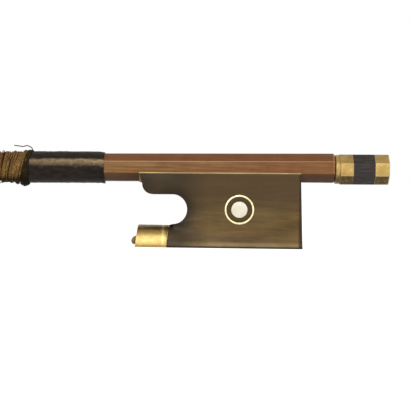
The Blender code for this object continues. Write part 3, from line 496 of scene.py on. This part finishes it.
# Hard pieces: the CAD shape with its sharp edges rounded.
# Node, piece, width of the rounding in mm, looks of the faces and of the rounded edges, body and slot
roundedPieces = (
    ("stick", "stickWood", 0.32, ("stick", "arris"), "stick_body", "pernambuco"),
    ("tip_plate", "tipPlate", 0.15, ("bone", "bone"), "stick_body", "bone"),
    ("frog_body", "frogEbony", 0.14, ("ebony", "paintedShade"), "frog", "ebony"),
    ("ferrule", "ferruleRing", 0.1, ("ferrule", "goldEdgeHighlight"), "frog", "gold"),
    ("spread_wedge", "wedgeTip", 0.2, ("wedge", "wedge"), "frog", "maple"),
    ("eye_ring_near", "eyeRingNear", 0.08, ("eyeRing", "eyeRing"), "frog", "gold"),
    ("eye_ring_far", "eyeRingFar", 0.08, ("eyeRing", "eyeRing"), "frog", "gold"),
    ("eye_pearl_near", "eyePearlNear", 0.14, ("pearl", "pearl"), "frog", "pearl"),
    ("eye_pearl_far", "eyePearlFar", 0.14, ("pearl", "pearl"), "frog", "pearl"),
    ("button_front_ring", "buttonFrontRing", 0.12, ("gold", "goldEdgeHighlight"), "adjuster", "gold"),
    ("button_rear_ring", "buttonRearRing", 0.14, ("gold", "goldEdgeHighlight"), "adjuster", "gold"),
    ("button_core", "buttonCore", 0.14, ("buttonEbony", "buttonEbony"), "adjuster", "ebony"),
)
sharpAngle = radians(27)
flatAngle = radians(0.8)
weldDistance = 0.002 * mm


def roundedCopy(node, name, width, looks, body, slot):
    bm = bmesh.new()
    bm.from_mesh(frame["nodes"][node].data)
    bmesh.ops.remove_doubles(bm, verts=bm.verts, dist=weldDistance)
    bmesh.ops.dissolve_limit(bm, angle_limit=flatAngle, verts=bm.verts, edges=bm.edges)
    sharp = [edge for edge in bm.edges if edge.is_manifold and edge.calc_face_angle() > sharpAngle]
    made = bmesh.ops.bevel(
        bm, geom=sharp, offset=width * mm, offset_type="OFFSET", segments=3, profile=0.5,
        affect="EDGES", clamp_overlap=True, material=-1,
    )
    for face in bm.faces:
        face.material_index = 0
    for face in made["faces"]:
        face.material_index = 1
    addPiece(name, bm, looks, body, node)


for entry in roundedPieces:
    roundedCopy(*entry)
print("hard pieces rounded")

# CAD nodes that keep their own shape
keptNodes = {
    "head_lining": "lining", "head_plug": "maple", "head_hair_knot": "hair", "underslide": "liner",
    "underslide_pin_front": "brass", "underslide_pin_rear": "brass", "eyelet": "brass", "pearl_slide": "pearl",
    "slide_backing": "lining", "frog_plug": "maple", "frog_hair_knot": "hair", "adjuster_screw": "steel",
}
for node, look in keptNodes.items():
    for slotHeld in frame["nodes"][node].material_slots:
        slotHeld.material = finishes[look]


def octagonReach(angle, across):
    # Distance from the centre of the octagonal stick to its side
    step = pi / 4
    offset = (angle + step / 2) % step - step / 2
    return across / 2 / cos(offset)


# How the shaft starts to bend down before the winding ends: mm from the butt, and fall for each mm squared
camber = {"start": 131.0, "fall": 0.00055}


def camberDrop(x):
    return -camber["fall"] * max(-x - camber["start"], 0.0) ** 2


def addSleeve(name, profile, steps, reach, look, replaced):
    # Spins a closed profile of x and radius in mm round the stick, and fits each point to its reach
    bm = bmesh.new()
    loop = [bm.verts.new((x * mm, 0, radius * mm)) for x, radius in profile]
    edges = [bm.edges.new((loop[index - 1], loop[index])) for index in range(len(loop))]
    bmesh.ops.spin(
        bm, geom=loop + edges, cent=(0, 0, 0), axis=(1, 0, 0), dvec=(0, 0, 0), angle=2 * pi,
        steps=steps, use_merge=True, use_duplicate=False,
    )
    bmesh.ops.remove_doubles(bm, verts=bm.verts, dist=weldDistance)
    for vert in bm.verts:
        x, y, z = vert.co / mm
        radius = (y * y + z * z) ** 0.5
        wanted = reach(x, atan2(z, y), radius)
        vert.co.y *= wanted / radius
        vert.co.z = vert.co.z * wanted / radius + camberDrop(x) * mm
    bmesh.ops.recalc_face_normals(bm, faces=bm.faces)
    bm.transform(handleMatrix)
    addPiece(name, bm, [look], "stick_body", replaced)


# Leather: a creased sleeve, thinned at the frog's end, its lower lip lifted; mm in the handle's frame
leather = {
    "front": -66.7, "rear": -89.2, "outer": 4.6, "tip": 4.3, "skive": 2.6, "rearRound": 0.5, "rearDrop": 0.2,
    "across": 7.75, "bore": 4.0, "between": 4.1, "wall": 0.12, "least": 0.04, "around": 72, "rings": 64,
    "crease": 0.07, "creaseAlong": 0.9, "creaseAround": 2.2, "creaseSeed": 3.0,
    "dent": 0.1, "dentAlong": 0.25, "dentAround": 0.9, "dentSeed": 9.0,
    "lipLift": 0.55, "lipLength": 1.6, "lipFrom": 0.6, "lipPower": 1.5,
}


def leatherProfile():
    size = leather
    profile = []
    for index in range(size["rings"] + 1):
        x = size["front"] + (size["rear"] - size["front"]) * index / size["rings"]
        near = min((size["front"] - x) / size["skive"], 1.0)
        far = min((x - size["rear"]) / size["rearRound"], 1.0)
        radius = size["tip"] + (size["outer"] - size["tip"]) * sin(near * pi / 2)
        profile.append((x, radius - size["rearDrop"] * (1 - far)))
    return profile + [(size["rear"], size["bore"]), (size["front"], size["bore"])]


def leatherReach(x, angle, radius):
    size = leather
    bed = octagonReach(angle, size["across"]) + size["wall"]
    if radius < size["between"]:
        return bed
    spot = Vector((x * size["creaseAlong"], angle * size["creaseAround"], size["creaseSeed"]))
    crease = noise.noise(spot) * size["crease"]
    spot = Vector((x * size["dentAlong"], angle * size["dentAround"], size["dentSeed"]))
    dent = noise.noise(spot) * size["dent"]
    low = max(-sin(angle) - size["lipFrom"], 0.0) / (1 - size["lipFrom"])
    fromFront = max(1 - (size["front"] - x) / size["lipLength"], 0.0)
    lip = fromFront ** size["lipPower"] * low * size["lipLift"]
    return max(radius + crease + dent + lip, bed + size["least"])


addSleeve(
    "thumbLeather", leatherProfile(), leather["around"], leatherReach, "leather", "thumb_leather",
)
print("leather made")

# Winding: bands of fine wires and soiled strands over orange thread, coming undone; mm in the handle's frame
winding = {
    "near": -90.6, "turns": 20, "pitch": 2.3, "across": 7.6, "roundStart": 112.0, "roundEnd": 124.0,
    "pointsPerTurn": 24, "wander": 0.85, "bandWander": 1.6, "lift": 0.12, "slant": 1.3,
    "wanderPace": 1.7, "bandPace": 0.8, "bandSeed": (5.5, 1.0), "liftPace": 2.3, "liftSeed": 7,
}
# Strands of a band: place in the band, stand off the stick, radius and seed of the wander
bandWires = ((0.36, 0.54, 0.12, 0.0), (0.7, 0.54, 0.12, 3.1), (1.04, 0.54, 0.12, 6.2))
bandSoiled = ((-1.0, 0.5, 0.15, 39.0), (-0.72, 0.44, 0.15, 39.28), (0.05, 0.4, 0.15, 40.05))
bandThreads = ((-0.53, 0.5, 0.2, 20.0), (-0.17, 0.5, 0.2, 21.0), (0.19, 0.5, 0.2, 22.0))
# Slack turns that lean across their neighbours
strays = {
    "count": 16, "radius": 0.12, "first": 0.9, "run": 0.9, "lean": 1.5, "leanSpread": 0.9, "sway": 0.7,
    "stand": 0.78, "ripple": 0.06, "ripples": 3, "steps": 36,
    "leanPace": 1.3, "leanSeed": (2.0, 4.0), "swayPace": (2.1, 0.12), "swaySeed": 8.0,
}
# A loose end of wire that stands up by the leather
looseEnd = (
    (-88.9, -1.9, 4.3), (-88.3, -0.9, 4.75), (-87.9, -0.3, 4.95), (-88.1, 0.0, 5.5), (-88.8, 0.1, 5.95),
    (-89.7, 0.1, 6.2), (-90.4, 0.0, 5.95), (-91.6, -0.1, 6.05), (-93.2, -0.2, 6.25),
)
looseRadius = 0.14


def windingReach(x, angle, stand):
    # Radius of a strand that lies round the octagon, and on the round shaft further on
    rounding = (-x - winding["roundStart"]) / (winding["roundEnd"] - winding["roundStart"])
    rounding = min(max(rounding, 0.0), 1.0)
    flat = octagonReach(angle, winding["across"])
    return flat * (1 - rounding) + winding["across"] / 2 * rounding + stand


def strand(points, radius, smoothSteps=0):
    # A round strand along points as a mesh, made by a bevelled curve
    curve = bpy.data.curves.new("strand", "CURVE")
    curve.dimensions = "3D"
    curve.bevel_depth = radius * mm
    curve.bevel_resolution = 2
    curve.use_fill_caps = True
    if smoothSteps:
        spline = curve.splines.new("BEZIER")
        spline.bezier_points.add(len(points) - 1)
        for spot, point in zip(spline.bezier_points, points):
            spot.co = Vector(point) * mm
            spot.handle_left_type = spot.handle_right_type = "AUTO"
        curve.resolution_u = smoothSteps
    else:
        spline = curve.splines.new("POLY")
        spline.points.add(len(points) - 1)
        for spot, point in zip(spline.points, points):
            spot.co = (*(Vector(point) * mm), 1.0)
    holder = bpy.data.objects.new("strand", curve)
    mesh = bpy.data.meshes.new_from_object(holder)
    bpy.data.objects.remove(holder)
    return mesh


def gather(name, meshes, look, replaced):
    bm = bmesh.new()
    for mesh in meshes:
        bm.from_mesh(mesh)
    bm.transform(handleMatrix)
    addPiece(name, bm, [look], "stick_body", replaced)


def helix(offset, stand, radius, seed):
    # One strand of the band, wandering a little; its turns lean forward at the top
    size = winding
    points = []
    for index in range(size["turns"] * size["pointsPerTurn"] + 1):
        turn = index / size["pointsPerTurn"]
        angle = -2 * pi * turn - pi / 2
        spot = Vector((turn * size["wanderPace"], seed, offset))
        wander = noise.noise(spot) * size["wander"]
        spot = Vector((turn * size["bandPace"], *size["bandSeed"]))
        band = noise.noise(spot) * size["wander"] * size["bandWander"]
        x = size["near"] - turn * size["pitch"] + offset + wander + band + size["slant"] * sin(angle)
        spot = Vector((turn * size["liftPace"], seed + size["liftSeed"], offset))
        lift = max(noise.noise(spot), 0.0) * size["lift"]
        reach = windingReach(x, angle, stand + lift)
        points.append((x, reach * cos(angle), reach * sin(angle) + camberDrop(x)))
    return strand(points, radius)


def strayTurn(index):
    size = strays
    start = winding["near"] - size["first"] - index * winding["turns"] * winding["pitch"] / size["count"]
    spread = noise.noise(Vector((index * size["leanPace"], *size["leanSeed"]))) * size["leanSpread"]
    lean = winding["slant"] * (size["lean"] + spread)
    turnPace, stepPace = size["swayPace"]
    points = []
    for step in range(size["steps"] + 1):
        angle = -2 * pi * step / size["steps"] - pi / 2
        sway = noise.noise(Vector((index * turnPace, step * stepPace, size["swaySeed"]))) * size["sway"]
        ripple = size["ripple"] * sin(size["ripples"] * angle + index)
        reach = windingReach(start, angle, size["stand"] + ripple)
        x = start - size["run"] * step / size["steps"] + sway + lean * sin(angle)
        points.append((x, reach * cos(angle), reach * sin(angle) + camberDrop(x)))
    return strand(points, size["radius"])


# The thread layer under the strands, as a sleeve on the octagon: its rings, outside and bore, and its stand
underlaySpare = 1.4
windingRear = winding["near"] - winding["turns"] * winding["pitch"] - underlaySpare
underlay = {
    "rings": (-89.45, -112.0, -124.0, -131.0, windingRear), "outer": 4.5, "bore": 4.0, "between": 4.2,
    "stand": 0.32, "boreStand": 0.06, "around": 64,
}


def underlayReach(x, angle, radius):
    outside = radius > underlay["between"]
    return windingReach(x, angle, underlay["stand"] if outside else underlay["boreStand"])


underlayProfile = [(x, underlay["outer"]) for x in underlay["rings"]]
underlayProfile += [(x, underlay["bore"]) for x in reversed(underlay["rings"])]
addSleeve(
    "lappingUnderlay", underlayProfile, underlay["around"], underlayReach, "underlay",
    "lapping_thread",
)
wires = [helix(*row) for row in bandWires] + [strayTurn(index) for index in range(strays["count"])]
gather("lappingWire", wires, "wire", "lapping_wire")
soiledStrands = [strand(looseEnd, looseRadius, 6)] + [helix(*row) for row in bandSoiled]
gather("lappingSoiled", soiledStrands, "darkWire", "lapping_wire")
gather("lappingThreads", [helix(*row) for row in bandThreads], "thread", "lapping_thread")

# Soiled turns over the leather's end: place on top and below, sag, stand and look
knotTurns = (
    (-87.9, -90.5, 0.4, 0.6, "darkWire"),
    (-88.4, -89.7, 0.6, 0.5, "darkWire"),
    (-88.3, -89.1, 0.4, 0.4, "darkWire"),
    (-88.6, -89.4, 0.25, 0.3, "darkWire"),
    (-88.4, -90.1, 0.7, 0.4, "darkWire"),
    (-88.5, -89.8, 0.3, 0.4, "darkWire"),
    (-88.7, -90.9, 0.4, 0.55, "darkWire"),
    (-89.1, -91.5, 0.15, 0.5, "wire"),
    (-89.7, -92.2, 0.1, 0.5, "thread"),
    (-88.5, -90.4, 0.3, 0.66, "wire"),
    (-90.0, -92.6, 0.05, 0.5, "wire"),
)
knot = {"steps": 48, "sway": 0.22, "swayPace": 1.7, "swaySeed": 2.0, "rise": 0.2, "overLeather": 0.14}
# For each look of the knot: strand radius, piece, slot and CAD node
knotPieces = {
    "darkWire": (0.27, "lappingKnot", "wire", "lapping_wire"),
    "wire": (0.13, "lappingKnotWire", "wire", "lapping_wire"),
    "thread": (0.27, "lappingKnotThread", "thread", "lapping_thread"),
}


def knotTurn(turn, above, below, sag, stand):
    points = []
    for index in range(knot["steps"] + 1):
        angle = 2 * pi * index / knot["steps"]
        sway = noise.noise(Vector((turn * knot["swayPace"], angle, knot["swaySeed"]))) * knot["sway"]
        x = (above + below) / 2 + sway + (above - below) / 2 * sin(angle)
        reach = max(windingReach(x, angle, stand + knot["rise"]), leather["outer"] + knot["overLeather"])
        points.append((x, reach * cos(angle), reach * sin(angle) - sag * (1 - sin(angle)) / 2))
    return points


for look, (radius, name, slot, replaced) in knotPieces.items():
    turns = [knotTurn(turn, *row[:-1]) for turn, row in enumerate(knotTurns) if row[-1] == look]
    gather(name, [strand(points, radius) for points in turns], look, replaced)
print("winding made")

# Camera at the photograph's angle: straight from the side, tipped a little; metres, radians and mm of lens
camera = {"place": (0.31915, -0.315, 0.01231), "roll": radians(0.84), "lens": 94.8, "nearest": 0.01}
cameraData = bpy.data.cameras.new("camera")
cameraData.lens = camera["lens"]
cameraData.clip_start = camera["nearest"]
cameraObject = bpy.data.objects.new("camera", cameraData)
bpy.context.scene.collection.objects.link(cameraObject)
right = Vector((cos(camera["roll"]), 0, sin(camera["roll"])))
top = Vector((-sin(camera["roll"]), 0, cos(camera["roll"])))
turnIn = Matrix((right, top, right.cross(top))).transposed()
cameraObject.matrix_world = Matrix.Translation(Vector(camera["place"])) @ turnIn.to_4x4()
bpy.context.scene.camera = cameraObject

# Lamps: place and size in metres, strength in watts
lamps = {
    "keyLamp": ((0.18, -0.85, 0.42), 0.55, 4.3),
    "fillLamp": ((0.75, -0.7, 0.25), 0.6, 1.2),
}
aim = Vector((0.3, 0, 0.015))
for lampName, (lampPlace, lampSize, power) in lamps.items():
    lampData = bpy.data.lights.new(lampName, "AREA")
    lampData.size = lampSize
    lampData.energy = power
    lamp = bpy.data.objects.new(lampName, lampData)
    bpy.context.scene.collection.objects.link(lamp)
    lamp.location = lampPlace
    lamp.rotation_euler = (aim - Vector(lampPlace)).to_track_quat("-Z", "Y").to_euler()

# Stage: strengths for the light that falls on the bow and for what the camera sees
stage = {
    "horizon": (1.0, 1.0, 1.0, 1.0), "overhead": (0.95, 0.95, 0.95, 1.0), "greying": (0.3, 0.75),
    "skyLight": 0.38, "skySeen": 1.0,
    "floor": (0.82, 0.82, 0.82, 1.0), "floorGlow": (1.0, 1.0, 1.0, 1.0), "floorSeen": 0.78,
    "floorSize": 6.0, "floorDrop": 0.05 * mm,
}


def makeWorld():
    # White round the horizon, as the photo's background, and a little greyer overhead
    world = bpy.data.worlds.new("studio")
    bpy.context.scene.world = world
    world.use_nodes = True
    tree = world.node_tree
    background = tree.nodes["Background"]
    steep = mapRange(tree, readPlace(tree, "Generated")["Z"], *stage["greying"])
    sky = mixColours(tree, steep, stage["horizon"], stage["overhead"])
    strength = mapRange(tree, seenDirectly(tree), 0.0, 1.0, stage["skyLight"], stage["skySeen"])
    tree.links.new(sky, background.inputs["Color"])
    tree.links.new(strength, background.inputs["Strength"])


def makeFloor():
    # Pale floor that keeps the bow's shadow and looks white to the camera
    bm = bmesh.new()
    bmesh.ops.create_grid(bm, x_segments=1, y_segments=1, size=stage["floorSize"])
    bmesh.ops.translate(bm, verts=bm.verts, vec=(0, 0, -stage["floorDrop"]))
    mesh = bpy.data.meshes.new("floor")
    bm.to_mesh(mesh)
    bm.free()
    material, tree, shader = startMaterial("paleFloor", 0.9, specular=0.0)
    shader.inputs["Base Color"].default_value = stage["floor"]
    shader.inputs["Emission Color"].default_value = stage["floorGlow"]
    glow = mapRange(tree, seenDirectly(tree), 0.0, 1.0, 0.0, stage["floorSeen"])
    tree.links.new(glow, shader.inputs["Emission Strength"])
    mesh.materials.append(material)
    floor = bpy.data.objects.new("floor", mesh)
    bpy.context.scene.collection.objects.link(floor)


makeWorld()
makeFloor()
bpy.context.scene.view_settings.view_transform = "Standard"
print("stage set")
